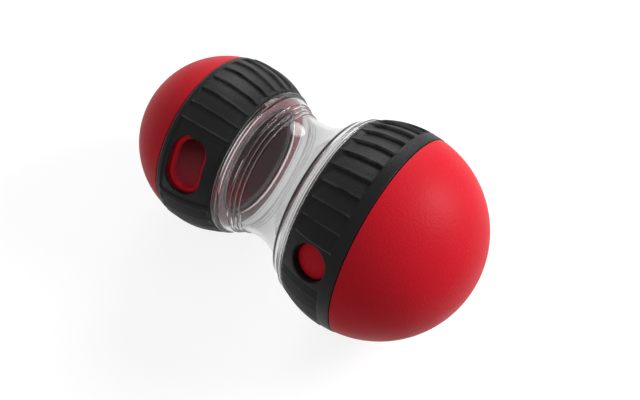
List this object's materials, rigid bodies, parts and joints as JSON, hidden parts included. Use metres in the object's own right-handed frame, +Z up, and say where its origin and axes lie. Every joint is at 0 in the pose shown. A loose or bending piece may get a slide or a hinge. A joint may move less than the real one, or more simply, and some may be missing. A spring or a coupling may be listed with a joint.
{
  "type": "rolling treat dispenser",
  "caption": "Rolling pet treat dispenser: two unequal red balls with ribbed black rings on a clear barrel, turning shutters over round and oval outlets, and a spring push button.",
  "frame": {"origin": "on the floor, under the middle of the toy's length and width", "axes": "+X towards the big ball, +Z up, the ports face -Y and up; the long axis leans 5 degrees because the balls differ"},
  "size_m": [0.1704, 0.0956, 0.0955],
  "materials": {
    "clear_plastic": "clear moulded plastic",
    "black_rubber": "matt black rubber with fine grain",
    "red_plastic": "satin red moulded plastic",
    "grey_rubber": "soft sealing rubber",
    "spring_steel": "plain spring wire"
  },
  "bodies": {
    "barrel": {"clear_barrel": "clear_plastic", "big_neck_ring": "clear_plastic", "small_neck_ring": "clear_plastic", "big_neck_seal": "grey_rubber", "small_neck_seal": "grey_rubber"},
    "big_ring": {"big_tread": "black_rubber", "big_collar": "red_plastic"},
    "big_shell": {"big_dome": "red_plastic", "big_shutter_sleeve": "red_plastic", "big_drag_ring": "grey_rubber", "button_cup": "red_plastic", "button_spring": "spring_steel"},
    "lock_button": {"lock_button": "red_plastic"},
    "small_ring": {"small_tread": "black_rubber", "small_collar": "red_plastic"},
    "small_shell": {"small_dome": "red_plastic", "small_shutter_sleeve": "red_plastic", "small_drag_ring": "grey_rubber"}
  },
  "joints": [
    {"name": "big_end_pull_off", "type": "slide", "parent": "barrel", "child": "big_ring", "axis": [0.9963, 0, 0.0857], "range_m": [0, 0.06]},
    {"name": "big_shutter_turn", "type": "hinge", "parent": "big_ring", "child": "big_shell", "pos_m": [0.03775, 0, 0.04782], "axis": [0.9963, 0, 0.0857], "range_deg": [0, 40]},
    {"name": "lock_button_press", "type": "slide", "parent": "big_shell", "child": "lock_button", "axis": [0.2083, 0.8219, -0.5302], "range_m": [0, 0.0026], "stiffness_N_per_m": 900, "springref_m": -0.001, "deforming": ["button_spring"]},
    {"name": "small_end_pull_off", "type": "slide", "parent": "barrel", "child": "small_ring", "axis": [-0.9963, 0, -0.0857], "range_m": [0, 0.06]},
    {"name": "small_shutter_turn", "type": "hinge", "parent": "small_ring", "child": "small_shell", "pos_m": [-0.04505, 0, 0.0407], "axis": [0.9963, 0, 0.0857], "range_deg": [0, 50]}
  ]
}
